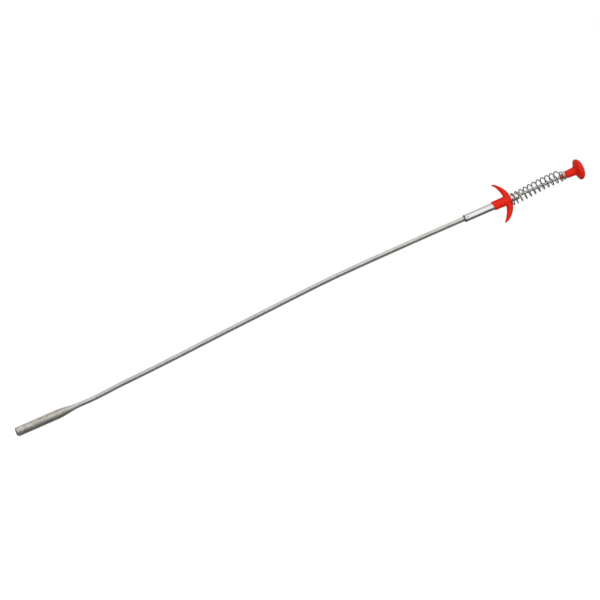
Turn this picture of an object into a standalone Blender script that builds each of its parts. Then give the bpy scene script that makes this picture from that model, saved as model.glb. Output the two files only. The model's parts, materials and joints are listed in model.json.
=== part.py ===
"""Flexible spring-claw pick-up tool: a thumb plunger, a crescent finger grip and a coil shaft with claws.

The tool lies along X, its knob towards +X and its mouth towards -X, resting on z = 0 on the knob's rim
and the head. The origin is the bottom centre of its box. Everything is in metres.
"""

import math

import bmesh
import bpy
from mathutils import Matrix, Vector

# Overall places along X
LENGTH = 0.610
CROWN_X = LENGTH / 2
MOUTH_X = -LENGTH / 2
GAP = 0.0003  # clearance between pieces that touch on the real tool

# Thumb knob
KNOB_RIM_R = 0.0105
KNOB_FACE_DEPTH = 0.0049  # from the crown to the widest place
KNOB_FACE_POWER = 2.2  # a higher power gives a flatter face with a rounder edge
KNOB_UNDER_DEPTH = 0.0034
KNOB_FLAT_R = 0.0018  # flat spot at the middle of the crown
KNOB_CAP_DEPTH = 0.0087
STEM_LENGTH = 0.0090
STEM_R_START = 0.0037
STEM_R_END = 0.0042
SPIGOT_R = 0.0025
SPIGOT_LENGTH = 0.0064
ROD_SOCKET_DEPTH = 0.0105
SHOULDER_X = CROWN_X - KNOB_CAP_DEPTH - STEM_LENGTH

# Plunger
TRAVEL = 0.036
ROD_R = 0.00145
ROD_BORE_R = 0.00090
ROD_HEAD_R = 0.0022
ROD_HEAD_LENGTH = 0.002
ROD_PLUG_LENGTH = 0.006

# Finger grip: a crescent between two arcs, and a hub
GRIP_CROWN_X = 0.2288
GRIP_OUTER_R = 0.0215
GRIP_SEAT = 0.0006  # depth of the flat, cut into the outer arc, that the spring rests on
GRIP_INNER_R = 0.0290
GRIP_INNER_SIDE = 0.0017  # the inner arc's centre lies to +Y, so the horn on the -Y side is the thicker one
GRIP_DEPTH = 0.0061  # thickness along X at the middle
HORN_REACH = 0.0196
HORN_TIP = 0.0011  # length over which a horn's tip rounds off
HORN_TIP_HALF_X = 0.0014
GRIP_HALF_Z = 0.0036
HORN_HALF_Z = 0.0019
HUB_X = 0.2098
HUB_R_START = 0.0046
HUB_R_END = 0.0048
HUB_EDGE = 0.0005
HUB_SKEW = 0.0006  # how far the hub's end leans along X on either side of its axis

# Neck tube
NECK_START_X = 0.1792
NECK_END_X = 0.2366
NECK_R = 0.0036
NECK_BORE_R = 0.0032
NECK_LIP_R = 0.0017  # rolled-in end that keeps the rod's head inside
NECK_LIP_LENGTH = 0.0012
NECK_END_ROUND = 0.0007

# Return spring
SPRING_WIRE_R = 0.0006
SPRING_R = 0.0056
SPRING_END_R = 0.0036
SPRING_FLAT_TURNS = 0.5
SPRING_OPEN_TURNS = 11.3
SPRING_CLOSE_TURNS = 2.0
SPRING_CLOSE_PITCH = 0.00128
SPRING_PHASE = 0.48  # share of a turn by which the open turns start past the top
SPRING_SAG = 0.0012  # sideways place of the spring at the grip, towards -Y
SPRING_BOW = 0.0026  # how far the spring then bows towards +Y
SPRING_LEAN = 0.00055  # how far each loop leans along X on either side
SPRING_TILT = 0.0009  # how far each loop leans along X above and below, at the knob

# Coil shaft and head
SHAFT_R = 0.00245
SHAFT_BORE_R = 0.0016
COIL_START_X = 0.192
FLEX_X = [0.145, 0.085, 0.025, -0.035, -0.095, -0.155]
FLEX_GAP = 0.0014
HEAD_R = 0.0047
HEAD_BORE_R = 0.0037
BARREL_LENGTH = 0.0432
FLARE_END = 0.0665
HEAD_STRAIGHT = 0.082  # straight length behind the mouth that the moving cable end needs
HEAD_DROP = 0.0178  # how far the mouth lies to the side of the handle's axis
HEAD_SLOPE = 0.0005 / HEAD_STRAIGHT

# Pull cable, collar and claws
CABLE_R = 0.00055
CABLE_GAP = 0.0005
CABLE_END_GAP = 0.001
TAIL_R = 0.0012
TAIL_BORE_R = 0.00085
COLLAR_R = 0.0029
COLLAR_LENGTH = 0.0064
COLLAR_EDGE = 0.0004
CLAW_ROOT = TRAVEL + 0.0003  # the claws' pivots, behind the mouth, level with it at full travel
CLAW_TIP = 0.0016
CLAW_RING_R = 0.0022
CLAW_WIRE_R = 0.00045
CLAW_BEND_R = 0.0009
CLAW_HOOK_END_R = 0.0003
CLAW_STAGGER = 0.0013
CLAW_COUNT = 4

HANDLE_Y = (HEAD_DROP + HEAD_R - HORN_REACH) / 2
HANDLE_Z = KNOB_RIM_R
HEAD_Z = HEAD_R

# The shaft's route: how far it lies to the side of the handle's axis at places along X
ROUTE = [
    (0.200, 0.0),
    (0.150, -0.0001),
    (0.111, -0.0005),
    (0.073, -0.0010),
    (0.034, -0.0020),
    (-0.005, -0.0041),
    (-0.044, -0.0065),
    (-0.084, -0.0089),
    (-0.123, -0.0115),
    (-0.162, -0.0138),
    (-0.198, -0.0156),
]


def wipe_scene():
    for old in list(bpy.data.objects):
        bpy.data.objects.remove(old)


def material(name, color, roughness, metallic):
    made = bpy.data.materials.new(name)
    made.use_nodes = True
    shader = made.node_tree.nodes["Principled BSDF"]
    shader.inputs["Base Color"].default_value = (*color, 1)
    shader.inputs["Roughness"].default_value = roughness
    shader.inputs["Metallic"].default_value = metallic
    made.diffuse_color = (*color, 1)
    return made


def smooth_step(share):
    share = min(max(share, 0), 1)
    return share * share * (3 - 2 * share)


def head_point(behind_mouth):
    """A point on the head's straight axis."""
    side = HANDLE_Y - HEAD_DROP + HEAD_SLOPE * behind_mouth
    return Vector((MOUTH_X + behind_mouth, side, HEAD_Z))


HEAD_AXIS = (head_point(0) - head_point(HEAD_STRAIGHT)).normalized()


def route_side(x):
    """The shaft's sideways place at x, on one smooth curve through ROUTE and the head's straight axis."""
    straight_x = MOUTH_X + HEAD_STRAIGHT
    if x <= straight_x:
        return head_point(x - MOUTH_X).y
    points = [(px, HANDLE_Y + side) for px, side in ROUTE]
    points += [(straight_x + step, head_point(HEAD_STRAIGHT + step).y) for step in (0, -0.03)]
    if x >= points[0][0]:
        return points[0][1]
    n = next(k for k in range(len(points) - 2, -1, -1) if points[k][0] >= x)
    before, start, end = points[max(n - 1, 0)], points[n], points[n + 1]
    after = points[min(n + 2, len(points) - 1)]
    span = end[0] - start[0]
    lean_start = (end[1] - before[1]) / (end[0] - before[0]) * span
    lean_end = (after[1] - start[1]) / (after[0] - start[0]) * span
    t = (x - start[0]) / span
    return (
        (2 * t**3 - 3 * t**2 + 1) * start[1]
        + (t**3 - 2 * t**2 + t) * lean_start
        + (3 * t**2 - 2 * t**3) * end[1]
        + (t**3 - t**2) * lean_end
    )


def route_point(x):
    """A point on the shaft's centre line, which sinks from the handle's height to the head's."""
    straight_x = MOUTH_X + HEAD_STRAIGHT
    sink = smooth_step((x - straight_x) / (NECK_START_X - straight_x))
    return Vector((x, route_side(x), HEAD_Z + (HANDLE_Z - HEAD_Z) * sink))


def route(start_x, end_x, step=0.013):
    """Points along the centre line, from start_x down to end_x, evenly apart."""
    count = max(2, round((start_x - end_x) / step))
    return [route_point(start_x + (end_x - start_x) * n / count) for n in range(count + 1)]


def handle_point(x):
    return Vector((x, HANDLE_Y, HANDLE_Z))


def new_object(name, mesh, color):
    made = bpy.data.objects.new(name, mesh)
    bpy.context.scene.collection.objects.link(made)
    mesh.materials.append(color)
    return made


def finished(name, shape, color):
    """An object of this bmesh, its faces pointing out and its round sides smooth."""
    bmesh.ops.recalc_face_normals(shape, faces=shape.faces)
    mesh = bpy.data.meshes.new(name)
    shape.to_mesh(mesh)
    shape.free()
    mesh.shade_smooth()
    mesh.set_sharp_from_angle(angle=math.radians(40))
    return new_object(name, mesh, color)


def ring(shape, centre, across, up, radius, sides):
    """A round ring of points, with one of them straight down."""
    turns = [math.tau * (n / sides - 0.25) for n in range(sides)]
    return [
        shape.verts.new(centre + (across * math.cos(a) + up * math.sin(a)) * radius) for a in turns
    ]


def bridge(shape, one, other):
    for n in range(len(one)):
        m = (n + 1) % len(one)
        shape.faces.new((one[n], one[m], other[m], other[n]))


def frames(path):
    """Each point's sideways and upward directions, square to the path and without twist."""
    found = []
    up = Vector((0, 0, 1))
    for n, point in enumerate(path):
        ahead = (path[min(n + 1, len(path) - 1)] - path[max(n - 1, 0)]).normalized()
        if abs(up.dot(ahead)) > 0.9 and not found:
            up = Vector((0, 1, 0))
        up = (up - ahead * up.dot(ahead)).normalized()
        found.append((point, ahead.cross(up), up))
    return found


def rod(name, path, radius, sides, color):
    """A solid round bar along a path."""
    shape = bmesh.new()
    rings = [ring(shape, *frame, radius, sides) for frame in frames(path)]
    for one, other in zip(rings, rings[1:]):
        bridge(shape, one, other)
    shape.faces.new(rings[0])
    shape.faces.new(rings[-1])
    return finished(name, shape, color)


def tube(name, path, radius, bore, sides, color):
    """A hollow round tube along a path."""
    shape = bmesh.new()
    outer = [ring(shape, *frame, radius, sides) for frame in frames(path)]
    inner = [ring(shape, *frame, bore, sides) for frame in frames(path)]
    for skin in (outer, inner):
        for one, other in zip(skin, skin[1:]):
            bridge(shape, one, other)
    bridge(shape, outer[0], inner[0])
    bridge(shape, outer[-1], inner[-1])
    return finished(name, shape, color)


def turned(name, origin, axis, profile, sides, color, closed=False):
    """A turned piece: profile holds (distance along the axis, radius). A closed one is a ring."""
    shape = bmesh.new()
    across = axis.cross(Vector((0, 0, 1))).normalized()
    up = across.cross(axis)
    rings = [
        ring(shape, origin + axis * along, across, up, radius, sides) for along, radius in profile
    ]
    for one, other in zip(rings, rings[1:]):
        bridge(shape, one, other)
    if closed:
        bridge(shape, rings[-1], rings[0])
    else:
        shape.faces.new(rings[0])
        shape.faces.new(rings[-1])
    return finished(name, shape, color)


def boolean(target, tool, operation):
    """Joins or cuts target with tool, which is only a guide."""
    tool.hide_render = True
    tool.display_type = "WIRE"
    made = target.modifiers.new(tool.name, "BOOLEAN")
    made.operation = operation
    made.object = tool
    made.solver = "EXACT"


def joint_empty(name, place, parent=None):
    made = bpy.data.objects.new(name, None)
    made.empty_display_size = 0.01
    bpy.context.scene.collection.objects.link(made)
    made.parent = parent
    made.location = place - (world_place(parent) if parent else Vector())
    return made


def world_place(empty):
    return empty.location + (world_place(empty.parent) if empty.parent else Vector())


def hang(piece, joint):
    """Puts the piece's origin on the joint and parents it there, without moving its shape."""
    piece.data.transform(Matrix.Translation(-world_place(joint)))
    piece.parent = joint


def knob_face(radius):
    """How far behind the crown the knob's face lies at this radius."""
    share = max(radius - KNOB_FLAT_R, 0) / (KNOB_RIM_R - KNOB_FLAT_R)
    return KNOB_FACE_DEPTH * (1 - (1 - share**KNOB_FACE_POWER) ** (1 / KNOB_FACE_POWER))


def thumb_knob(color):
    """Mushroom cap, tapered stem and spigot in one moulding, with a blind socket for the rod."""
    crown = STEM_LENGTH + KNOB_CAP_DEPTH
    rim = crown - KNOB_FACE_DEPTH
    socket_end = ROD_SOCKET_DEPTH - SPIGOT_LENGTH
    profile = [
        (socket_end, 0.0002),
        (socket_end, ROD_R + GAP),
        (-SPIGOT_LENGTH, ROD_R + GAP),
        (-SPIGOT_LENGTH, SPIGOT_R),
        (0, SPIGOT_R),
        (0, STEM_R_START),
        (STEM_LENGTH - 0.0008, STEM_R_END),
    ]
    for share in (0.50, 0.66, 0.80, 0.90, 0.97):
        profile.append((rim - KNOB_UNDER_DEPTH * math.sqrt(1 - share**2), KNOB_RIM_R * share))
    for share in (1.0, 0.985, 0.94, 0.86, 0.75, 0.6, 0.4):
        profile.append((crown - knob_face(KNOB_RIM_R * share), KNOB_RIM_R * share))
    profile.append((crown, KNOB_FLAT_R))
    return turned("thumb_knob", handle_point(SHOULDER_X), Vector((1, 0, 0)), profile, 32, color)


def plunger_rod(color):
    """Rod that is hollow for most of its length, headed at the end inside the neck tube."""
    start = NECK_END_X - NECK_LIP_LENGTH - GAP - ROD_HEAD_LENGTH
    end = SHOULDER_X - SPIGOT_LENGTH + ROD_SOCKET_DEPTH - GAP
    bore_end = TRAVEL + ROD_PLUG_LENGTH
    profile = [
        (bore_end, 0.0002),
        (bore_end, ROD_BORE_R),
        (0, ROD_BORE_R),
        (0, ROD_HEAD_R),
        (ROD_HEAD_LENGTH, ROD_HEAD_R),
        (ROD_HEAD_LENGTH, ROD_R),
        (end - start, ROD_R),
    ]
    return turned("plunger_rod", handle_point(start), Vector((1, 0, 0)), profile, 14, color)


def spring_point(turn):
    """The return spring's wire centre: flat at the grip, then open, then close on the knob's spigot."""
    start_x = GRIP_CROWN_X + SPRING_WIRE_R + GAP
    end_x = SHOULDER_X - SPRING_WIRE_R - GAP
    close_x = end_x - SPRING_CLOSE_TURNS * SPRING_CLOSE_PITCH
    open_turn = turn - SPRING_FLAT_TURNS
    close_turn = open_turn - SPRING_OPEN_TURNS
    open_share = min(max(open_turn / SPRING_OPEN_TURNS, 0), 1)
    x = start_x + (close_x - start_x) * open_share + SPRING_CLOSE_PITCH * max(close_turn, 0)
    shrink = smooth_step(close_turn + 0.7)
    radius = SPRING_R + (SPRING_END_R - SPRING_R) * shrink
    side = (SPRING_BOW * smooth_step(open_share * 1.35) - SPRING_SAG) * (1 - 0.9 * shrink)
    lean = SPRING_LEAN * smooth_step(open_turn) * (1 - shrink)
    tilt = SPRING_TILT * open_share * (1 - shrink)
    a = math.tau * (open_turn + SPRING_PHASE)
    return Vector(
        (
            x + lean * math.sin(a) + tilt * math.cos(a),
            HANDLE_Y + side - radius * math.sin(a),
            HANDLE_Z + radius * math.cos(a),
        )
    )


def return_spring(color):
    """The spring's wire, swept along its helix with rings kept radial to the spring's axis."""
    per_turn = 14
    turns = SPRING_FLAT_TURNS + SPRING_OPEN_TURNS + SPRING_CLOSE_TURNS
    path = [spring_point(n / per_turn) for n in range(round(turns * per_turn) + 1)]
    shape = bmesh.new()
    rings = []
    for n, point in enumerate(path):
        ahead = (path[min(n + 1, len(path) - 1)] - path[max(n - 1, 0)]).normalized()
        across = Vector((1, 0, 0)).cross(ahead).normalized()
        rings.append(ring(shape, point, across, ahead.cross(across), SPRING_WIRE_R, 6))
    for one, other in zip(rings, rings[1:]):
        bridge(shape, one, other)
    shape.faces.new(rings[0])
    shape.faces.new(rings[-1])
    return finished("return_spring", shape, color)


def crescent(color):
    """The grip's two horns, as oval sections between an outer and an inner arc."""
    outer_x = GRIP_CROWN_X + GRIP_SEAT - GRIP_OUTER_R
    inner_x = GRIP_CROWN_X - GRIP_DEPTH - GRIP_INNER_R
    stations = 24
    sides = 14
    shape = bmesh.new()
    rings = []
    for n in range(stations + 1):
        side = -HORN_REACH * math.cos(math.pi * (0.02 + 0.96 * n / stations))
        front = min(GRIP_CROWN_X, outer_x + math.sqrt(GRIP_OUTER_R**2 - side**2))
        back = inner_x + math.sqrt(GRIP_INNER_R**2 - (side - GRIP_INNER_SIDE) ** 2)
        tip = 1 - max(0, (abs(side) - HORN_REACH + HORN_TIP) / HORN_TIP) ** 2
        closing = math.sqrt(max(tip, 0.04))
        half_x = max((front - back) / 2, HORN_TIP_HALF_X) * closing
        share = abs(side) / HORN_REACH
        half_z = (GRIP_HALF_Z + (HORN_HALF_Z - GRIP_HALF_Z) * share**1.5) * closing
        middle = Vector(((front + back) / 2, HANDLE_Y + side, HANDLE_Z))
        points = []
        for k in range(sides):
            a = math.tau * (k + 0.5) / sides
            points.append(shape.verts.new(middle + Vector((half_x * math.cos(a), 0, half_z * math.sin(a)))))
        rings.append(points)
    for one, other in zip(rings, rings[1:]):
        bridge(shape, one, other)
    shape.faces.new(rings[0])
    shape.faces.new(rings[-1])
    return finished("finger_grip", shape, color)


def finger_grip(color):
    """Crescent and hub in one moulding, bored through for the neck tube."""
    grip = crescent(color)
    along = Vector((1, 0, 0))
    hub_length = GRIP_CROWN_X - 0.0004 - HUB_X
    hub_profile = [
        (0, HUB_R_START - HUB_EDGE),
        (HUB_EDGE, HUB_R_START),
        (hub_length - HUB_EDGE, HUB_R_END),
        (hub_length, HUB_R_END - HUB_EDGE),
    ]
    hub = turned("grip_hub_guide", handle_point(HUB_X), along, hub_profile, 24, color)
    for vertex in hub.data.vertices:
        if vertex.co.x < HUB_X + 2 * HUB_EDGE:
            vertex.co.x -= HUB_SKEW * (vertex.co.y - HANDLE_Y) / HUB_R_START
    overrun = 0.01
    bore_profile = [(-overrun, NECK_R + GAP), (hub_length + overrun, NECK_R + GAP)]
    bore = turned("grip_bore_cutter", handle_point(HUB_X), along, bore_profile, 24, color)
    boolean(grip, hub, "UNION")
    boolean(grip, bore, "DIFFERENCE")
    return grip


def neck_tube(color):
    """Tube through the hub, its end rolled in round the rod."""
    length = NECK_END_X - NECK_START_X
    profile = [
        (0, NECK_BORE_R),
        (0, NECK_R),
        (length - NECK_END_ROUND, NECK_R),
        (length, NECK_R - NECK_END_ROUND),
        (length, NECK_LIP_R),
        (length - NECK_LIP_LENGTH, NECK_LIP_R),
        (length - NECK_LIP_LENGTH, NECK_BORE_R),
    ]
    return turned(
        "neck_tube", handle_point(NECK_START_X), Vector((1, 0, 0)), profile, 20, color, closed=True
    )


def flare(barrel_r, shaft_r):
    """The head's profile at one of its two surfaces: straight from the mouth, then down to the shaft's."""
    steps = 8
    profile = [(0, barrel_r)]
    for n in range(steps + 1):
        along = BARREL_LENGTH + (FLARE_END - BARREL_LENGTH) * n / steps
        profile.append((along, barrel_r + (shaft_r - barrel_r) * smooth_step(n / steps)))
    return profile


def head_coil(color):
    """The wide end of the coil: a straight barrel with an open mouth, and a flare down to the shaft."""
    profile = flare(HEAD_R, SHAFT_R) + flare(HEAD_BORE_R, SHAFT_BORE_R)[::-1]
    return turned("head_coil", head_point(0), -HEAD_AXIS, profile, 20, color, closed=True)


def claw_side(number):
    """The direction from the head's axis to this claw's wire."""
    a = math.tau * (number - 0.5) / CLAW_COUNT
    level = Vector((-HEAD_AXIS.y, HEAD_AXIS.x, 0)).normalized()
    return level * math.cos(a) + Vector((0, 0, 1)) * math.sin(a)


def claw_root(number):
    return head_point(CLAW_ROOT) + claw_side(number) * CLAW_RING_R


def claw(number, color):
    """One claw wire, straight in the bore, with its tip bent in towards the head's axis."""
    out = claw_side(number)
    tip = CLAW_TIP + CLAW_STAGGER * (number % 2)
    path = [claw_root(number)]
    bend_start = head_point(tip + CLAW_WIRE_R + CLAW_BEND_R) + out * CLAW_RING_R
    path.append((path[0] + bend_start) / 2)
    centre = bend_start - out * CLAW_BEND_R
    for degrees in range(0, 91, 22):
        t = math.radians(degrees)
        path.append(centre + (out * math.cos(t) + HEAD_AXIS * math.sin(t)) * CLAW_BEND_R)
    path.append(head_point(tip + CLAW_WIRE_R) + out * CLAW_HOOK_END_R)
    return rod(f"claw_{number}", path, CLAW_WIRE_R, 8, color)


def handle_pieces(red, plated, spring_steel):
    """The fixed grip, tube and spring, and the knob and rod that slide on them."""
    finger_grip(red)
    neck_tube(plated)
    return_spring(spring_steel)
    plunge = joint_empty("joint_plunge", handle_point(NECK_END_X))
    hang(thumb_knob(red), plunge)
    hang(plunger_rod(plated), plunge)


def shaft_pieces(coil_steel, cable_steel):
    """The stretches of coil and cable, each hung on the flex joint before it. Returns the last joint."""
    cable_start = NECK_END_X - NECK_LIP_LENGTH - GAP
    cable_end = MOUTH_X + CLAW_ROOT + COLLAR_LENGTH + 2 * GAP + CABLE_END_GAP
    coil_ends = [COIL_START_X + FLEX_GAP / 2, *FLEX_X, MOUTH_X + FLARE_END + GAP - FLEX_GAP / 2]
    cable_ends = [cable_start + CABLE_GAP / 2, *FLEX_X, cable_end - CABLE_GAP / 2]
    joint = None
    for n in range(len(FLEX_X) + 1):
        if n:
            joint = joint_empty(f"joint_flex_{n}", route_point(FLEX_X[n - 1]), joint)
        coil_path = route(coil_ends[n] - FLEX_GAP / 2, coil_ends[n + 1] + FLEX_GAP / 2)
        coil = tube(f"shaft_coil_{n + 1}", coil_path, SHAFT_R, SHAFT_BORE_R, 14, coil_steel)
        cable_path = route(cable_ends[n] - CABLE_GAP / 2, cable_ends[n + 1] + CABLE_GAP / 2)
        cable = rod(f"core_cable_{n + 1}", cable_path, CABLE_R, 8, cable_steel)
        if joint:
            hang(coil, joint)
            hang(cable, joint)
    return joint


def carriage_pieces(last_flex, plated, cable_steel, claw_steel):
    """The sliding collar with the cable's tail behind it and the claws in front."""
    carriage = joint_empty("joint_carriage", head_point(CLAW_ROOT), last_flex)
    collar_start = CLAW_ROOT + GAP
    collar_profile = [
        (0, COLLAR_R - COLLAR_EDGE),
        (COLLAR_EDGE, COLLAR_R),
        (COLLAR_LENGTH - COLLAR_EDGE, COLLAR_R),
        (COLLAR_LENGTH, COLLAR_R - COLLAR_EDGE),
    ]
    collar = turned("claw_collar", head_point(collar_start), -HEAD_AXIS, collar_profile, 20, plated)
    hang(collar, carriage)
    tail_path = [head_point(collar_start + COLLAR_LENGTH + GAP), head_point(HEAD_STRAIGHT)]
    hang(tube("cable_tail", tail_path, TAIL_R, TAIL_BORE_R, 12, cable_steel), carriage)
    for number in range(1, CLAW_COUNT + 1):
        piece = claw(number, claw_steel)
        hang(piece, joint_empty(f"joint_claw_{number}", claw_root(number), carriage))


def build():
    wipe_scene()
    red = material("red_plastic", (0.62, 0.018, 0.010), 0.32, 0.0)
    plated = material("plated_steel", (0.72, 0.72, 0.70), 0.22, 1.0)
    spring_steel = material("spring_steel", (0.60, 0.60, 0.58), 0.30, 1.0)
    coil_steel = material("coil_steel", (0.52, 0.52, 0.49), 0.38, 1.0)
    cable_steel = material("cable_steel", (0.45, 0.45, 0.44), 0.45, 1.0)
    claw_steel = material("claw_steel", (0.58, 0.58, 0.57), 0.30, 1.0)
    handle_pieces(red, plated, spring_steel)
    last_flex = shaft_pieces(coil_steel, cable_steel)
    hang(head_coil(coil_steel), last_flex)
    carriage_pieces(last_flex, plated, cable_steel, claw_steel)


build()
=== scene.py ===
"""Looks of the flexible spring-claw pick-up tool: wound coils, moulded grip and knob, steel and light.

Joints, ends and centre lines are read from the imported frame. The other sizes follow the CAD part's, with
finer detail added. Sizes are in metres, and the tool lies along X with its mouth at -X and +Z up.
"""

import json
import math

import bmesh
import bpy
import numpy as np
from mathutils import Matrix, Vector


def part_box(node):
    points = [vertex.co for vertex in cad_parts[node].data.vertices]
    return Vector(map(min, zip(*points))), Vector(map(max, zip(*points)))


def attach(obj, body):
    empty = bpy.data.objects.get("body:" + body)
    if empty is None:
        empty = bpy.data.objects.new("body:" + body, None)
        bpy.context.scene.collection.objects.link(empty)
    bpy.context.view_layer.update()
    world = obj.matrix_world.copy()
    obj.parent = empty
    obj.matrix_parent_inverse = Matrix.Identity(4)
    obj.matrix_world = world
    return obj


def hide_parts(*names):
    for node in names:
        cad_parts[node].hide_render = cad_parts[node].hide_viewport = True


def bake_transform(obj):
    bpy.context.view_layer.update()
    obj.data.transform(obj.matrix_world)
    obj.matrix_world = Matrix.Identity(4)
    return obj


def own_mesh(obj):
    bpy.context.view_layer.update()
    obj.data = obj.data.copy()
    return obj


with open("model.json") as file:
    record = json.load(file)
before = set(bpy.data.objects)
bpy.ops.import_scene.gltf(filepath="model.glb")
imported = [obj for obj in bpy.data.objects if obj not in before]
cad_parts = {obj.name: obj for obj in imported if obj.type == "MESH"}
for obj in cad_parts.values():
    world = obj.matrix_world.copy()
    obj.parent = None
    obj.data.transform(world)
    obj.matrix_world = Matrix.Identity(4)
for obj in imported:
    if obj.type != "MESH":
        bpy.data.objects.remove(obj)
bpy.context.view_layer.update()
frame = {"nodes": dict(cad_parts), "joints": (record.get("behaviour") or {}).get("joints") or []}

X_AXIS = Vector((1, 0, 0))
GAP = 0.0003  # the clearance that the CAD pieces keep
OVERRUN = 0.01  # how far a cutter or the centre line runs on past an end

# Coil shaft and head
SHAFT_R = 0.00245
SHAFT_WIRE_R = 0.0004
HEAD_R = 0.0047
HEAD_WIRE_R = 0.00045
BARREL_LENGTH = 0.0432
FLARE_END = 0.0665
COIL_INSET = 0.0005  # how far inside the CAD coil's end the winding starts
CABLE_STEP = 0.002

# Finger grip
GRIP_OUTER_R = 0.0215
GRIP_SEAT = 0.0006  # depth of the flat, cut into the outer arc, that the spring rests on
GRIP_INNER_R = 0.0290
GRIP_INNER_SIDE = 0.0017
GRIP_DEPTH = 0.0061
GRIP_HALF_Z = 0.0036
HORN_HALF_Z = 0.0019
HORN_TIP = 0.0012  # this and the next are a little over the CAD's
HORN_TIP_HALF_X = 0.0016
HORN_END_SHARE = 0.012  # the share of the half turn left out at each tip
HUB_X = 0.2098
HUB_R_START = 0.0046
HUB_R_END = 0.0048
HUB_SKEW = 0.0006
HUB_EDGE = 0.0005
HUB_SETBACK = 0.0003  # how far the hub's end stays behind the crescent's crown
MELT_VOXEL = 0.00024  # grain of the remesh that melts hub and crescent together
MELT_PASSES = 4
NECK_R = 0.0036
NECK_BORE_R = 0.0032
NECK_LIP_R = 0.0017
NECK_LIP_LENGTH = 0.0012
CRIMP_FROM_END = 0.0036
CRIMP_R = 0.00085
CRIMP_DEPTH = 0.0004

# Thumb knob
KNOB_FACE_DEPTH = 0.0049
KNOB_FACE_POWER = 2.2
KNOB_UNDER_DEPTH = 0.0034
KNOB_FLAT_R = 0.0018
KNOB_CAP_DEPTH = 0.0087
STEM_LENGTH = 0.0090
STEM_R_START = 0.0037
STEM_R_END = 0.0042
SPIGOT_R = 0.0025
SOCKET_END = 0.004  # how far past the knob's shoulder the rod's socket ends

# Return spring
SPRING_WIRE_R = 0.0006
SPRING_R = 0.0056
SPRING_END_R = 0.0036
SPRING_FLAT_TURNS = 0.5
SPRING_OPEN_TURNS = 11.3
SPRING_CLOSE_TURNS = 2.0
SPRING_CLOSE_PITCH = 0.00128
SPRING_PHASE = 0.48
SPRING_SAG = 0.0012
SPRING_BOW = 0.0026
SPRING_LEAN = 0.00055
SPRING_TILT = 0.0009
SPRING_BOW_RATE = 1.35  # the bow is complete this many times sooner than the open turns end
SPRING_SHRINK_LEAD = 0.7  # turns before the close ones at which the radius starts to shrink
SPRING_CENTRING = 0.9  # how much of the sideways offset the close turns lose

# Rod, claws and cable
ROD_R = 0.00145
ROD_BORE_R = 0.00090
ROD_HEAD_R = 0.0022
ROD_HEAD_LENGTH = 0.002
ROD_PLUG_LENGTH = 0.006
CLAW_WIRE_R = 0.00045
CLAW_RING_R = 0.0022
CLAW_BEND_R = 0.0009
CLAW_HOOK_END_R = 0.0003
COLLAR_R = 0.0029
CABLE_R = 0.00055

# Camera: straight above the tool, turned so that the handle points up to the right
CAMERA_TURN = 23.4
CAMERA_MIDDLE = (0.0009, -0.0076)
CAMERA_HEIGHT = 1.2288
CAMERA_LENS = 75.0

# Looks: each pair of tones is a metal's darkest and lightest colour
SHAFT_TONES = ((0.86, 0.86, 0.83), (0.95, 0.95, 0.93))
HEAD_TONES = ((0.66, 0.64, 0.56), (0.95, 0.94, 0.91))
EVEN = (1, 1, 1)
DRAWN = (0.08, 1, 1)  # noise drawn out along X, as on drawn wire
NOISE_ROUGHNESS = 0.55
TONE_STOPS = (0.32, 0.68)  # the noise values at which the two tones are reached
END_SHADE_LENGTH = 0.0016  # painted shade at an end, standing in for the shadow gap there: dark over half of this and then clears
END_SHADE_SHARE = 0.18  # what is left of the colour where the painted shade is darkest
BUMP_HEIGHT = 0.0001

# Towards its two ends along X the dome is squeezed and leant over to +Y, the lean in degrees
SIDEWAYS_POWER = 1.5
SIDEWAYS_SPREAD = 0.7
SIDEWAYS_LEAN = 105

# How much of the dome's brightness stays towards -X, at places from -X (0) to +X (1)
DIM_END = [(0.0, 0.10), (0.08, 0.25), (0.2, 1.0)]

# The dome's brightness at angles from straight up, positive towards +Y
DOME = [
    (-180, 0.25), (-150, 0.10), (-110, 0.09), (-85, 0.10), (-65, 0.18), (-50, 0.46), (-36, 0.86),
    (-18, 1.0), (8, 1.0), (40, 0.87), (70, 0.69), (95, 0.54), (130, 0.52), (165, 0.50), (180, 0.25),
]

SKY_SEEN = (0.99, 0.99, 0.99, 1)  # what the camera sees of the sky, in place of the dome

# The two fill lights: place, size and power. Both point at the table under the knob.
FILL_LIGHTS = {
    "front_fill": ((1.5, -0.5, 1.0), (0.9, 0.9), 6),
    "back_fill": ((-0.5, -0.8, 1.0), (0.9, 0.9), 6),
}
FILL_TARGET = (0.3, 0, 0)


def span(node, axis):
    low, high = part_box(node)
    return low[axis], high[axis]


def middle(node):
    low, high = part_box(node)
    return (Vector(low) + Vector(high)) / 2


HANDLE = middle("neck_tube")  # its y and z are the handle's axis
NECK_START_X, NECK_END_X = span("neck_tube", 0)
GRIP_CROWN_X = span("finger_grip", 0)[1]
KNOB_START_X, CROWN_X = span("thumb_knob", 0)
SHOULDER_X = CROWN_X - KNOB_CAP_DEPTH - STEM_LENGTH
JOINTS = {joint["name"]: joint for joint in frame["joints"]}
TRAVEL = JOINTS["plunge"]["range_m"][1]
HEAD_AXIS = Vector(JOINTS["carriage_slide"]["axis"]).normalized()
FLEX = [Vector(JOINTS[f"flex_{n}"]["pos_m"]) for n in range(1, 7)]


def handle_point(x):
    return Vector((x, HANDLE.y, HANDLE.z))


def smooth_step(share):
    share = min(max(share, 0.0), 1.0)
    return share * share * (3 - 2 * share)


def ring_middles(node):
    """The middles of a CAD tube's rings of points, from its end at +X on."""
    ring_step = 0.003  # a larger step along X than this starts a new ring
    points = sorted((v.co.copy() for v in frame["nodes"][node].data.vertices), key=lambda p: -p.x)
    rings = [[points[0]]]
    for point in points[1:]:
        if rings[-1][-1].x - point.x > ring_step:
            rings.append([])
        rings[-1].append(point)
    return [sum(ring, Vector()) / len(ring) for ring in rings]


MOUTH = ring_middles("head_coil")[-1]


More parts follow.
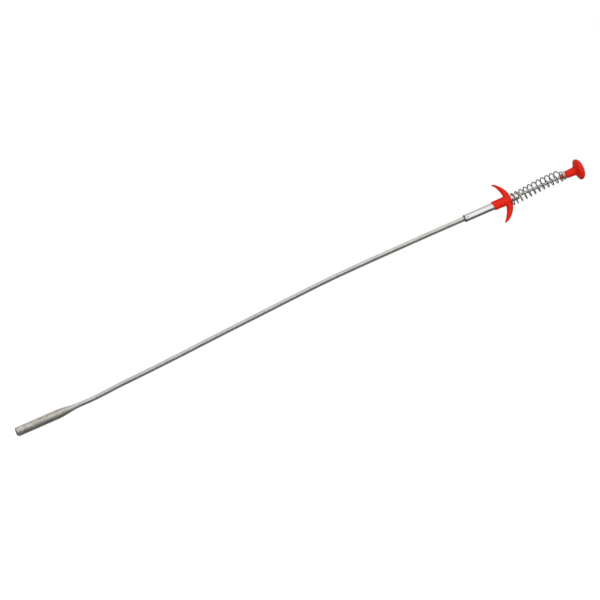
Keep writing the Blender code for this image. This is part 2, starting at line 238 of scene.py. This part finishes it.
def shaft_line():
    """The shaft's centre line: the middles of the CAD coil's rings, then the head's straight axis."""
    points = [handle_point(NECK_END_X)]
    for n in range(1, 8):
        points += ring_middles(f"shaft_coil_{n}")
    return points + [MOUTH - HEAD_AXIS * FLARE_END / 2, MOUTH, MOUTH + HEAD_AXIS * OVERRUN]


SHAFT_LINE = shaft_line()
SHAFT_LINE_X = np.array([point.x for point in SHAFT_LINE])


def on_shaft(x):
    """The centre line's point at x, on a smooth curve."""
    n = int(np.clip(np.searchsorted(-SHAFT_LINE_X, -x) - 1, 0, len(SHAFT_LINE) - 2))
    before, start = SHAFT_LINE[max(n - 1, 0)], SHAFT_LINE[n]
    end, after = SHAFT_LINE[n + 1], SHAFT_LINE[min(n + 2, len(SHAFT_LINE) - 1)]
    length = end.x - start.x
    t = (x - start.x) / length
    lean_start = (end - before) * (length / (end.x - before.x))
    lean_end = (after - start) * (length / (after.x - start.x))
    return (
        start * (2 * t**3 - 3 * t**2 + 1)
        + lean_start * (t**3 - 2 * t**2 + t)
        + end * (3 * t**2 - 2 * t**3)
        + lean_end * (t**3 - t**2)
    )


# Materials


def node(tree, kind, **settings):
    made = tree.nodes.new(kind)
    for name, value in settings.items():
        setattr(made, name, value)
    return made


def new_material(name, roughness, metallic):
    """A material, its node tree and its shader."""
    made = bpy.data.materials.new(name)
    made.use_nodes = True
    shader = made.node_tree.nodes["Principled BSDF"]
    shader.inputs["Roughness"].default_value = roughness
    shader.inputs["Metallic"].default_value = metallic
    return made, made.node_tree, shader


def feed(tree, socket, term):
    """Joins another node's output to the socket, or sets a plain value on it."""
    if isinstance(term, bpy.types.NodeSocket):
        tree.links.new(term, socket)
    else:
        socket.default_value = term


def noise(tree, scale, detail, stretch=EVEN):
    """Noise in the object's own coordinates, drawn out along the axes by stretch."""
    place = node(tree, "ShaderNodeTexCoord")
    mapping = node(tree, "ShaderNodeMapping")
    mapping.inputs["Scale"].default_value = stretch
    made = node(tree, "ShaderNodeTexNoise")
    made.inputs["Scale"].default_value = scale
    made.inputs["Detail"].default_value = detail
    made.inputs["Roughness"].default_value = NOISE_ROUGHNESS
    tree.links.new(place.outputs["Object"], mapping.inputs["Vector"])
    tree.links.new(mapping.outputs["Vector"], made.inputs["Vector"])
    return made.outputs["Fac"]


def ramp(tree, value, stops):
    """A colour ramp: stops holds (place, grey or colour)."""
    made = node(tree, "ShaderNodeValToRGB")
    elements = made.color_ramp.elements
    while len(elements) < len(stops):
        elements.new(0.5)
    for element, (place, color) in zip(elements, stops):
        element.position = place
        element.color = (*color, 1) if isinstance(color, tuple) else (color, color, color, 1)
    tree.links.new(value, made.inputs["Fac"])
    return made.outputs["Color"]


def coordinates(tree, kind):
    """X, Y and Z outputs of the point's place in its object, or of its direction as Generated in a world."""
    place = node(tree, "ShaderNodeTexCoord")
    parts = node(tree, "ShaderNodeSeparateXYZ")
    tree.links.new(place.outputs[kind], parts.inputs["Vector"])
    return parts.outputs


def mapped(tree, value, start, end):
    """How far the value has come from start to end, held between 0 and 1."""
    made = node(tree, "ShaderNodeMapRange")
    made.inputs["From Min"].default_value = start
    made.inputs["From Max"].default_value = end
    tree.links.new(value, made.inputs["Value"])
    return made.outputs["Result"]


def mixed(tree, factor, first, second, kind="MIX"):
    """First going over to second as the factor rises. The kind MULTIPLY goes over to their product."""
    made = node(tree, "ShaderNodeMix", data_type="RGBA", blend_type=kind)
    for name, term in (("Factor", factor), ("A", first), ("B", second)):
        feed(tree, made.inputs[name], term)
    return made.outputs["Result"]


def bumps(tree, shader, height, strength):
    made = node(tree, "ShaderNodeBump")
    made.inputs["Strength"].default_value = strength
    made.inputs["Distance"].default_value = BUMP_HEIGHT
    tree.links.new(height, made.inputs["Height"])
    tree.links.new(made.outputs["Normal"], shader.inputs["Normal"])


def red_plastic():
    """Moulded red plastic: faint flow marks in the colour, a fine grain and uneven gloss."""
    made, tree, shader = new_material("red_moulding", 0.34, 0.0)
    flow = noise(tree, 55, 4, stretch=(0.4, 1, 1))
    color = ramp(tree, flow, [(0.3, (0.80, 0.014, 0.005)), (0.7, (0.90, 0.022, 0.007))])
    tree.links.new(color, shader.inputs["Base Color"])
    gloss = ramp(tree, noise(tree, 240, 3), [(0.3, 0.28), (0.75, 0.42)])
    tree.links.new(gloss, shader.inputs["Roughness"])
    bumps(tree, shader, noise(tree, 1500, 2), 0.04)
    shader.inputs["Specular IOR Level"].default_value = 0.2
    return made


def mottled(tree, scale, tones):
    """Colour that wanders between two tones."""
    return ramp(tree, noise(tree, scale, 5), list(zip(TONE_STOPS, tones)))


def painted_end_shade(tree, color, end_x):
    """The colour, darkened over a short length from end_x: painted shade for the shadow gap at an end."""
    along = mapped(tree, coordinates(tree, "Object")["X"], end_x, end_x + END_SHADE_LENGTH)
    return mixed(tree, 1, color, ramp(tree, along, [(0.5, END_SHADE_SHARE), (1.0, 1.0)]), "MULTIPLY")


def finished(tree, shader, grain, gloss, strength, stretch=EVEN):
    """Fine noise that moves the roughness through the range of gloss and stands up as small bumps."""
    finish = noise(tree, grain, 4, stretch)
    tree.links.new(ramp(tree, finish, [(0.3, gloss[0]), (0.7, gloss[1])]), shader.inputs["Roughness"])
    bumps(tree, shader, finish, strength)


def steel(name, dark, light, gloss, grain, scale, stretch, strength=0.15, shaded_end_x=None):
    """Steel between two colours, with a roughness range. grain and scale say how finely the finish and the
    colour vary, and stretch draws the finish out.
    """
    made, tree, shader = new_material(name, gloss[0], 1.0)
    color = mottled(tree, scale, (dark, light))
    # painted shade over a short length from the given end
    if shaded_end_x is not None:
        color = painted_end_shade(tree, color, shaded_end_x)
    tree.links.new(color, shader.inputs["Base Color"])
    finished(tree, shader, grain, gloss, strength, stretch)
    return made


def wound_steel():
    """The coil's wire: bright and even along the shaft, duller and mottled on the head, with painted shade at
    the mouth.
    """
    made, tree, shader = new_material("coil_wire", 0.3, 1.0)
    x = coordinates(tree, "Object")["X"]
    along = mapped(tree, x, MOUTH.x + BARREL_LENGTH, MOUTH.x + FLARE_END)
    shaft = mottled(tree, 90, SHAFT_TONES)
    head = mottled(tree, 260, HEAD_TONES)
    # painted shade over the first turns at the mouth
    color = painted_end_shade(tree, mixed(tree, along, head, shaft), MOUTH.x)
    tree.links.new(color, shader.inputs["Base Color"])
    finished(tree, shader, 1700, (0.24, 0.40), 0.15)
    return made


def make_materials():
    return {
        "red": red_plastic(),
        "coil": wound_steel(),
        "tube": steel(
            "plated_tube", (0.86, 0.86, 0.84), (0.94, 0.94, 0.93), (0.12, 0.22), 900, 30, DRAWN, 0.08,
            # painted shade at the tube's open end
            shaded_end_x=NECK_START_X,
        ),
        "rod": steel("plated_rod", (0.60, 0.60, 0.58), (0.78, 0.78, 0.76), (0.16, 0.30), 1100, 60, DRAWN),
        "spring": steel("spring_wire", (0.32, 0.32, 0.31), (0.58, 0.58, 0.57), (0.18, 0.32), 1500, 110, EVEN),
        # painted highlight: the close turns get a lighter copy of the same spring wire's colour
        "bright": steel(
            "spring_lit_close", (0.70, 0.70, 0.69), (0.86, 0.86, 0.85), (0.16, 0.28), 1500, 110, EVEN
        ),
        "claw": steel("claw_wire", (0.50, 0.50, 0.49), (0.70, 0.70, 0.68), (0.22, 0.38), 1500, 120, EVEN),
        "collar": steel("collar_steel", (0.56, 0.55, 0.52), (0.72, 0.72, 0.70), (0.24, 0.40), 900, 120, EVEN),
        "cable": steel("cable_wire", (0.30, 0.30, 0.29), (0.50, 0.50, 0.48), (0.38, 0.55), 1800, 200, EVEN),
    }


# Meshes


def object_of(name, mesh, look):
    made = bpy.data.objects.new(name, mesh)
    bpy.context.scene.collection.objects.link(made)
    mesh.materials.append(look)
    return made


def skin(name, rings, look, closed=False):
    """A smooth skin over rings of points, with flat ends unless it is closed round."""
    count, sides = rings.shape[:2]
    faces = []
    for n in range(count if closed else count - 1):
        here, there = n * sides, (n + 1) % count * sides
        for k in range(sides):
            m = (k + 1) % sides
            faces.append((here + k, here + m, there + m, there + k))
    if not closed:
        faces.append(tuple(range(sides)))
        faces.append(tuple(range((count - 1) * sides, count * sides)))
    mesh = bpy.data.meshes.new(name)
    mesh.from_pydata(rings.reshape(-1, 3).tolist(), [], faces)
    shape = bmesh.new()
    shape.from_mesh(mesh)
    bmesh.ops.recalc_face_normals(shape, faces=shape.faces)
    shape.to_mesh(mesh)
    shape.free()
    mesh.shade_smooth()
    mesh.set_sharp_from_angle(angle=math.radians(38))
    return object_of(name, mesh, look)


def turned(name, origin, axis, profile, sides, look, closed=False):
    """A turned piece round axis: profile holds (distance along it, radius)."""
    across = axis.cross(Vector((0, 0, 1))).normalized()
    up = across.cross(axis)
    angles = np.linspace(0, math.tau, sides, endpoint=False)
    circle = np.outer(np.cos(angles), across) + np.outer(np.sin(angles), up)
    rings = [np.array(origin + axis * along) + circle * radius for along, radius in profile]
    return skin(name, np.array(rings), look, closed)


def arc(middle_along, middle_radius, bend, start, end, steps):
    """Profile points on an arc, its angles in degrees from the outward direction."""
    points = []
    for n in range(steps + 1):
        a = math.radians(start + (end - start) * n / steps)
        points.append((middle_along + bend * math.sin(a), middle_radius + bend * math.cos(a)))
    return points


def wire_along(name, middles, outs, aheads, wire_r, sides, look):
    """A round wire through middles, its rings set by each point's outward and forward direction."""
    angles = np.linspace(0, math.tau, sides, endpoint=False)
    rings = (
        middles[:, None]
        + outs[:, None] * (wire_r * np.cos(angles))[None, :, None]
        + aheads[:, None] * (wire_r * np.sin(angles))[None, :, None]
    )
    return skin(name, rings, look)


def winding(name, line, radius, pitch, start, end, wire_r, per_turn, sides, look):
    """A wire wound round line, a function of x. The turns are counted from x = 0, so windings meet."""
    first, last = -start / pitch, -end / pitch
    turns = np.linspace(first, last, max(2, round((last - first) * per_turn)) + 1)
    middles, outs, aheads = [], [], []
    step = 0.0005
    for turn in turns:
        x = -turn * pitch
        ahead = (line(x - step) - line(x + step)).normalized()
        level = ahead.cross(Vector((0, 0, 1))).normalized()
        up = level.cross(ahead)
        a = math.tau * turn
        out = level * math.cos(a) + up * math.sin(a)
        middles.append(line(x) + out * radius(x))
        outs.append(out)
        aheads.append(ahead)
    return wire_along(name, np.array(middles), np.array(outs), np.array(aheads), wire_r, sides, look)


def swept(name, path, radius, sides, look):
    """A round bar along a path of points, without twist."""
    middles, outs, sideways = [], [], []
    out = Vector((0, 0, 1)) if abs((path[1] - path[0]).normalized().z) < 0.9 else Vector((0, 1, 0))
    for n, point in enumerate(path):
        ahead = (path[min(n + 1, len(path) - 1)] - path[max(n - 1, 0)]).normalized()
        out = (out - ahead * out.dot(ahead)).normalized()
        middles.append(point)
        outs.append(out)
        sideways.append(ahead.cross(out))
    return wire_along(name, np.array(middles), np.array(outs), np.array(sideways), radius, sides, look)


# Pieces


def knob_face(radius, rim_r):
    """How far behind the crown the knob's face lies at this radius."""
    share = max(radius - KNOB_FLAT_R, 0) / (rim_r - KNOB_FLAT_R)
    return KNOB_FACE_DEPTH * (1 - (1 - share**KNOB_FACE_POWER) ** (1 / KNOB_FACE_POWER))


def thumb_knob(look):
    """Mushroom knob: spigot, tapered stem, filleted underside, rounded rim and flat-topped crown."""
    rim_r = (span("thumb_knob", 2)[1] - span("thumb_knob", 2)[0]) / 2
    crown = STEM_LENGTH + KNOB_CAP_DEPTH
    rim = crown - KNOB_FACE_DEPTH
    spigot = SHOULDER_X - KNOB_START_X
    edge, fillet = 0.0003, 0.0010
    socket = (SOCKET_END, ROD_R + GAP)
    profile = [(socket[0], 0.0001), socket, (-spigot, socket[1])]
    profile += arc(-spigot + edge, SPIGOT_R - edge, edge, -90, 0, 4)
    profile += [(0, SPIGOT_R)] + arc(edge, STEM_R_START - edge, edge, -90, 0, 4)
    for n in range(1, 7):
        along = (STEM_LENGTH - fillet) * n / 6
        profile.append((along, STEM_R_START + (STEM_R_END - STEM_R_START) * along / STEM_LENGTH))
    profile += arc(STEM_LENGTH - fillet, STEM_R_END + fillet, -fillet, 0, -50, 5)[1:]
    for degrees in range(32, 90, 4):
        a = math.radians(degrees)
        profile.append((rim - KNOB_UNDER_DEPTH * math.cos(a), rim_r * math.sin(a)))
    for degrees in range(90, 9, -3):
        radius = rim_r * math.sin(math.radians(degrees))
        profile.append((crown - knob_face(radius, rim_r), radius))
    profile.append((crown, KNOB_FLAT_R * 0.5))
    knob = turned("knob_moulding", handle_point(SHOULDER_X), X_AXIS, profile, 96, look)
    knob.data.shade_smooth()
    return knob


def crescent():
    """The grip's two horns as one closed skin of oval sections."""
    reach = (span("finger_grip", 1)[1] - span("finger_grip", 1)[0]) / 2
    outer_x = GRIP_CROWN_X + GRIP_SEAT - GRIP_OUTER_R
    inner_x = GRIP_CROWN_X - GRIP_DEPTH - GRIP_INNER_R
    stations = 72
    angles = np.linspace(0, math.tau, 32, endpoint=False)
    rings = []
    for n in range(stations + 1):
        turn = HORN_END_SHARE + (1 - 2 * HORN_END_SHARE) * n / stations
        side = -reach * math.cos(math.pi * turn)
        front = min(GRIP_CROWN_X, outer_x + math.sqrt(GRIP_OUTER_R**2 - side**2))
        back = inner_x + math.sqrt(GRIP_INNER_R**2 - (side - GRIP_INNER_SIDE) ** 2)
        closing = math.sqrt(max(1 - max(0, (abs(side) - reach + HORN_TIP) / HORN_TIP) ** 2, 0.01))
        half_x = max((front - back) / 2, HORN_TIP_HALF_X) * closing
        half_z = (GRIP_HALF_Z + (HORN_HALF_Z - GRIP_HALF_Z) * (abs(side) / reach) ** 1.5) * closing
        ring = np.zeros((len(angles), 3))
        ring[:, 0] = (front + back) / 2 + half_x * np.cos(angles)
        ring[:, 1] = HANDLE.y + side
        ring[:, 2] = HANDLE.z + half_z * np.sin(angles)
        rings.append(ring)
    return np.array(rings)


def applied(piece):
    """Applies the piece's modifiers to its mesh."""
    depsgraph = bpy.context.evaluated_depsgraph_get()
    made = bpy.data.meshes.new_from_object(piece.evaluated_get(depsgraph))
    piece.modifiers.clear()
    piece.data = made


def combined(piece, tool, operation):
    change = piece.modifiers.new("change", "BOOLEAN")
    change.operation = operation
    change.solver = "EXACT"
    change.object = tool
    applied(piece)
    bpy.data.objects.remove(tool)


def finger_grip(look):
    """Crescent and hub melted into one moulding with soft fillets, then bored for the neck tube."""
    grip = skin("grip_moulding", crescent(), look)
    length = GRIP_CROWN_X - HUB_SETBACK - HUB_X
    edge = HUB_EDGE
    profile = [(0, NECK_R * 0.5)] + arc(edge, HUB_R_START - edge, edge, -90, 0, 6)
    profile += arc(length - edge, HUB_R_END - edge, edge, 0, 90, 6) + [(length, NECK_R * 0.5)]
    hub = turned("hub", handle_point(HUB_X), X_AXIS, profile, 64, look)
    for vertex in hub.data.vertices:
        if vertex.co.x < HUB_X + 2 * edge:
            vertex.co.x -= HUB_SKEW * (vertex.co.y - HANDLE.y) / HUB_R_START
    combined(grip, hub, "UNION")
    melt = grip.modifiers.new("melt", "REMESH")
    melt.mode = "VOXEL"
    melt.voxel_size = MELT_VOXEL
    applied(grip)
    shape = bmesh.new()
    shape.from_mesh(grip.data)
    for _ in range(MELT_PASSES):
        bmesh.ops.smooth_vert(
            shape, verts=shape.verts, factor=0.5, use_axis_x=True, use_axis_y=True, use_axis_z=True
        )
    shape.to_mesh(grip.data)
    shape.free()
    bore_r = NECK_R + GAP / 2
    bore = [(-OVERRUN, bore_r), (length + OVERRUN, bore_r)]
    combined(grip, turned("bore", handle_point(HUB_X), X_AXIS, bore, 64, look), "DIFFERENCE")
    grip.data.shade_smooth()
    grip.data.set_sharp_from_angle(angle=math.radians(50))
    return grip


def neck_tube(look):
    """Plated tube with its end rolled in round the rod, and a round crimp near its other end."""
    length = NECK_END_X - NECK_START_X
    edge, start_edge = 0.0007, 0.00025
    fine = [0.0012 + n * 0.00015 for n in range(34)]  # close rows, so that the crimp can be pressed in
    rows = fine + [0.008 + n * 0.002 for n in range(23)]
    profile = [(start_edge, NECK_BORE_R)] + arc(start_edge, NECK_R - start_edge, start_edge, -90, 0, 5)
    profile += [(along, NECK_R) for along in rows if along < length - edge]
    profile += arc(length - edge, NECK_R - edge, edge, 0, 90, 8)
    lip_start = length - NECK_LIP_LENGTH
    profile += [(length, NECK_LIP_R), (lip_start, NECK_LIP_R), (lip_start, NECK_BORE_R)]
    tube = turned("neck_sleeve", handle_point(NECK_START_X), X_AXIS, profile, 128, look, closed=True)
    crimp = Vector((NECK_START_X + CRIMP_FROM_END, HANDLE.y, HANDLE.z + NECK_R))
    for vertex in tube.data.vertices:
        radial = Vector((0, vertex.co.y - HANDLE.y, vertex.co.z - HANDLE.z))
        if radial.length > NECK_R - 0.0001:  # the outer skin only
            apart = (vertex.co - crimp).length / CRIMP_R
            vertex.co -= radial.normalized() * CRIMP_DEPTH * math.exp(-(apart**4))
    return tube


def spring_point(turn, close_x, start_x):
    """The wire's centre and the spring's axis there, after so many turns from the grip."""
    open_turn = turn - SPRING_FLAT_TURNS
    close_turn = open_turn - SPRING_OPEN_TURNS
    share = min(max(open_turn / SPRING_OPEN_TURNS, 0), 1)
    x = start_x + (close_x - start_x) * share + SPRING_CLOSE_PITCH * max(close_turn, 0)
    shrink = smooth_step(close_turn + SPRING_SHRINK_LEAD)
    radius = SPRING_R + (SPRING_END_R - SPRING_R) * shrink
    side = SPRING_BOW * smooth_step(share * SPRING_BOW_RATE) - SPRING_SAG
    side *= 1 - SPRING_CENTRING * shrink
    lean = SPRING_LEAN * smooth_step(open_turn) * (1 - shrink)
    a = math.tau * (open_turn + SPRING_PHASE)
    tilt = SPRING_TILT * share * (1 - shrink)
    axis = Vector((x + lean * math.sin(a) + tilt * math.cos(a), HANDLE.y + side, HANDLE.z))
    out = Vector((0, -math.sin(a), math.cos(a)))
    return axis + out * radius, out


def spring_stretch(name, first, last, close_x, start_x, look):
    per_turn = 40
    turns = np.linspace(first, last, round((last - first) * per_turn) + 1)
    path = [spring_point(turn, close_x, start_x) for turn in turns]
    middles = np.array([point for point, _ in path])
    outs = np.array([out for _, out in path])
    ahead = np.gradient(middles, axis=0)
    sideways = np.cross(outs, ahead)
    sideways /= np.linalg.norm(sideways, axis=1)[:, None]
    return wire_along(name, middles, outs, sideways, SPRING_WIRE_R, 12, look)


def return_spring(look, lit_close_look):
    """Open turns between the grip and the knob, and close turns that ride on the knob's spigot."""
    start_x = GRIP_CROWN_X + SPRING_WIRE_R + GAP
    close_x = SHOULDER_X - SPRING_WIRE_R - GAP - SPRING_CLOSE_TURNS * SPRING_CLOSE_PITCH
    close_turn = SPRING_FLAT_TURNS + SPRING_OPEN_TURNS
    opened = spring_stretch("spring_open", 0, close_turn, close_x, start_x, look)
    last_turn = close_turn + SPRING_CLOSE_TURNS
    # the close turns wear the lighter copy of the wire's colour, a painted highlight
    closed = spring_stretch("spring_end", close_turn, last_turn, close_x, start_x, lit_close_look)
    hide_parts("return_spring")
    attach(opened, "handle")
    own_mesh(opened)
    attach(closed, "plunger")


def plunger_rod(look):
    """Bright rod with a head that stays inside the neck tube."""
    start, end = span("plunger_rod", 0)
    bore_end = TRAVEL + ROD_PLUG_LENGTH
    edge = 0.0002
    profile = [(bore_end, 0.0001), (bore_end, ROD_BORE_R), (0, ROD_BORE_R)]
    profile += arc(edge, ROD_HEAD_R - edge, edge, -90, 0, 3)
    profile += [(ROD_HEAD_LENGTH, ROD_HEAD_R), (ROD_HEAD_LENGTH, ROD_R)]
    bar = end - start - ROD_HEAD_LENGTH
    profile += [(ROD_HEAD_LENGTH + bar * n / 12, ROD_R) for n in range(1, 13)]
    return turned("rod_bar", handle_point(start), X_AXIS, profile, 40, look)


def shaft_coils(look, cable_look):
    """The coil and the cable in it, as stretches that each span one flex joint."""
    ends = [span("shaft_coil_1", 0)[1] - COIL_INSET]
    ends += [(one.x + other.x) / 2 for one, other in zip(FLEX, FLEX[1:])]
    ends += [span("head_coil", 0)[1]]
    cable_ends = [span("core_cable_1", 0)[1], *ends[1:-1], span("core_cable_7", 0)[0]]
    pitch = 2 * SHAFT_WIRE_R
    for n, flex in enumerate(FLEX, 1):
        coil = winding(
            f"shaft_winding_{n}", on_shaft, lambda x: SHAFT_R - SHAFT_WIRE_R, pitch,
            ends[n - 1], ends[n], SHAFT_WIRE_R, per_turn=18, sides=8, look=look,
        )
        count = round((cable_ends[n - 1] - cable_ends[n]) / CABLE_STEP)
        path = [on_shaft(x) for x in np.linspace(cable_ends[n - 1], cable_ends[n], count + 1)]
        cable = swept(f"cable_run_{n}", path, CABLE_R, 12, cable_look)
        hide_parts(f"shaft_coil_{n}")
        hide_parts(f"core_cable_{n}")
        for piece, finish in ((coil, "coil_steel"), (cable, "cable_steel")):
            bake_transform(piece)
    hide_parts("shaft_coil_7")
    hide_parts("core_cable_7")


def head_radius(x):
    """The head winding's radius at x: the barrel's, closing down to the shaft's along the flare."""
    share = (x - MOUTH.x - BARREL_LENGTH) / (FLARE_END - BARREL_LENGTH)
    barrel, shaft = HEAD_R - HEAD_WIRE_R, SHAFT_R - SHAFT_WIRE_R
    return barrel + (shaft - barrel) * smooth_step(share)


def head_coil(look):
    """The wider winding of the head, from the flare to the mouth."""
    start = span("head_coil", 0)[1]
    end = MOUTH.x + HEAD_WIRE_R
    head = winding(
        "head_winding", on_shaft, head_radius, 2 * HEAD_WIRE_R,
        start, end, HEAD_WIRE_R, per_turn=36, sides=10, look=look,
    )
    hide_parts("head_coil")
    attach(head, "head")


def claw(number, look):
    """A spring-wire claw from its root at the collar, with a hooked tip."""
    joint = JOINTS[f"claw_{number}_spread"]
    root = Vector(joint["pos_m"])
    behind = (MOUTH - root).dot(HEAD_AXIS)
    out = (root - (MOUTH - HEAD_AXIS * behind)).normalized()
    tip_x = min((v.co - MOUTH).dot(-HEAD_AXIS) for v in frame["nodes"][f"claw_{number}"].data.vertices)
    tip = MOUTH - HEAD_AXIS * (tip_x + CLAW_WIRE_R)
    bend = tip - HEAD_AXIS * CLAW_BEND_R + out * CLAW_RING_R
    path = [root + (bend - root) * n / 24 for n in range(25)]
    for degrees in range(10, 91, 10):
        a = math.radians(degrees)
        path.append(bend - out * CLAW_BEND_R + (out * math.cos(a) + HEAD_AXIS * math.sin(a)) * CLAW_BEND_R)
    hook_start, hook_end = path[-1], tip + out * CLAW_HOOK_END_R
    path += [hook_start + (hook_end - hook_start) * n / 4 for n in range(1, 5)]
    piece = swept(f"claw_wire_{number}", path, CLAW_WIRE_R, 14, look)
    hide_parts(f"claw_{number}")
    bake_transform(piece)


def claw_collar(look):
    """Ferrule that holds the claw wires, with two rolled grooves."""
    low, high = span("claw_collar", 0)
    length = (high - low) / -HEAD_AXIS.x
    start = MOUTH - HEAD_AXIS * ((low - MOUTH.x) / -HEAD_AXIS.x)
    edge, groove = 0.0004, 0.00025
    profile = [(0, 0.0001)] + arc(edge, COLLAR_R - edge, edge, -90, 0, 5)
    for middle_along in (length * 0.35, length * 0.65):
        for n in range(-6, 7):
            along = middle_along + n * 0.0001
            profile.append((along, COLLAR_R - groove * 0.5 * (1 + math.cos(math.pi * n / 6))))
    profile += arc(length - edge, COLLAR_R - edge, edge, 0, 90, 5) + [(length, 0.0001)]
    return turned("collar_ferrule", start, -HEAD_AXIS, profile, 48, look)


def place(piece, cad_node, body, finish):
    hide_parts(cad_node)
    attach(piece, body)


# Studio


def floor():
    """A shadowless white table top, seen by the camera but neither lighting the tool nor mirrored in it."""
    mesh = bpy.data.meshes.new("table_top")
    size, below = 6.0, -0.0001
    corners = [(-size, -size, below), (size, -size, below), (size, size, below), (-size, size, below)]
    mesh.from_pydata(corners, [], [(0, 1, 2, 3)])
    made, tree, shader = new_material("white_floor", 0.9, 0.0)
    glow = node(tree, "ShaderNodeEmission")
    tone = ramp(tree, noise(tree, 0.6, 2), [(0.3, 0.995), (0.7, 1.0)])
    tree.links.new(tone, glow.inputs["Color"])
    tree.links.new(glow.outputs["Emission"], tree.nodes["Material Output"].inputs["Surface"])
    tree.nodes.remove(shader)
    top = object_of("table_top", mesh, made)
    top.visible_glossy = False
    top.visible_diffuse = False


def computed(tree, operation, *terms):
    """Output of a math node whose inputs are the terms: other outputs or plain numbers."""
    made = node(tree, "ShaderNodeMath", operation=operation)
    for socket, term in zip(made.inputs, terms):
        feed(tree, socket, term)
    return made.outputs["Value"]


def studio_world():
    """A soft dome: brightest overhead, fading on one side and dark on the other."""
    world = bpy.data.worlds.new("studio")
    bpy.context.scene.world = world
    world.use_nodes = True
    tree = world.node_tree
    background = tree.nodes["Background"]
    direction = coordinates(tree, "Generated")
    angle = computed(tree, "ARCTAN2", direction["Y"], direction["Z"])
    sideways = computed(tree, "POWER", computed(tree, "ABSOLUTE", direction["X"]), SIDEWAYS_POWER)
    widened = computed(tree, "MULTIPLY", angle, computed(tree, "MULTIPLY_ADD", sideways, SIDEWAYS_SPREAD, 1))
    leaned = computed(tree, "MULTIPLY_ADD", sideways, -math.radians(SIDEWAYS_LEAN), widened)
    turn = mapped(tree, leaned, -math.pi, math.pi)
    shades = ramp(tree, turn, [(0.5 + degrees / 360, tone) for degrees, tone in DOME])
    dimming = ramp(tree, mapped(tree, direction["X"], -1, 1), DIM_END)
    dome = mixed(tree, 1, shades, dimming, "MULTIPLY")
    seen = node(tree, "ShaderNodeLightPath").outputs["Is Camera Ray"]
    tree.links.new(mixed(tree, seen, dome, SKY_SEEN), background.inputs["Color"])
    background.inputs["Strength"].default_value = 1.0


def area_light(name, place_at, size, power):
    """Light that brightens the plastic without showing as a reflection in the steel."""
    data = bpy.data.lights.new(name, "AREA")
    data.shape = "RECTANGLE"
    data.size, data.size_y = size
    data.energy = power
    made = bpy.data.objects.new(name, data)
    bpy.context.scene.collection.objects.link(made)
    made.location = place_at
    made.rotation_euler = (Vector(FILL_TARGET) - Vector(place_at)).to_track_quat("-Z", "Y").to_euler()
    made.visible_glossy = False


def camera():
    data = bpy.data.cameras.new("camera")
    data.lens = CAMERA_LENS
    data.sensor_width = 36.0
    data.clip_start, data.clip_end = 0.01, 100.0
    made = bpy.data.objects.new("camera", data)
    bpy.context.scene.collection.objects.link(made)
    made.location = (*CAMERA_MIDDLE, CAMERA_HEIGHT)
    made.rotation_euler = (0, 0, math.radians(-CAMERA_TURN))
    bpy.context.scene.camera = made


def build():
    looks = make_materials()
    place(finger_grip(looks["red"]), "finger_grip", "handle", "red_plastic")
    place(neck_tube(looks["tube"]), "neck_tube", "handle", "plated_steel")
    place(thumb_knob(looks["red"]), "thumb_knob", "plunger", "red_plastic")
    place(plunger_rod(looks["rod"]), "plunger_rod", "plunger", "plated_steel")
    return_spring(looks["spring"], looks["bright"])
    shaft_coils(looks["coil"], looks["cable"])
    head_coil(looks["coil"])
    place(claw_collar(looks["collar"]), "claw_collar", "carriage", "plated_steel")
    for number in range(1, 5):
        claw(number, looks["claw"])
    tail = frame["nodes"]["cable_tail"]
    tail.data.materials.clear()
    tail.data.materials.append(looks["cable"])
    floor()
    studio_world()
    for name, (place_at, size, power) in FILL_LIGHTS.items():
        area_light(name, place_at, size, power)
    camera()
    bpy.context.scene.view_settings.view_transform = "Standard"


build()
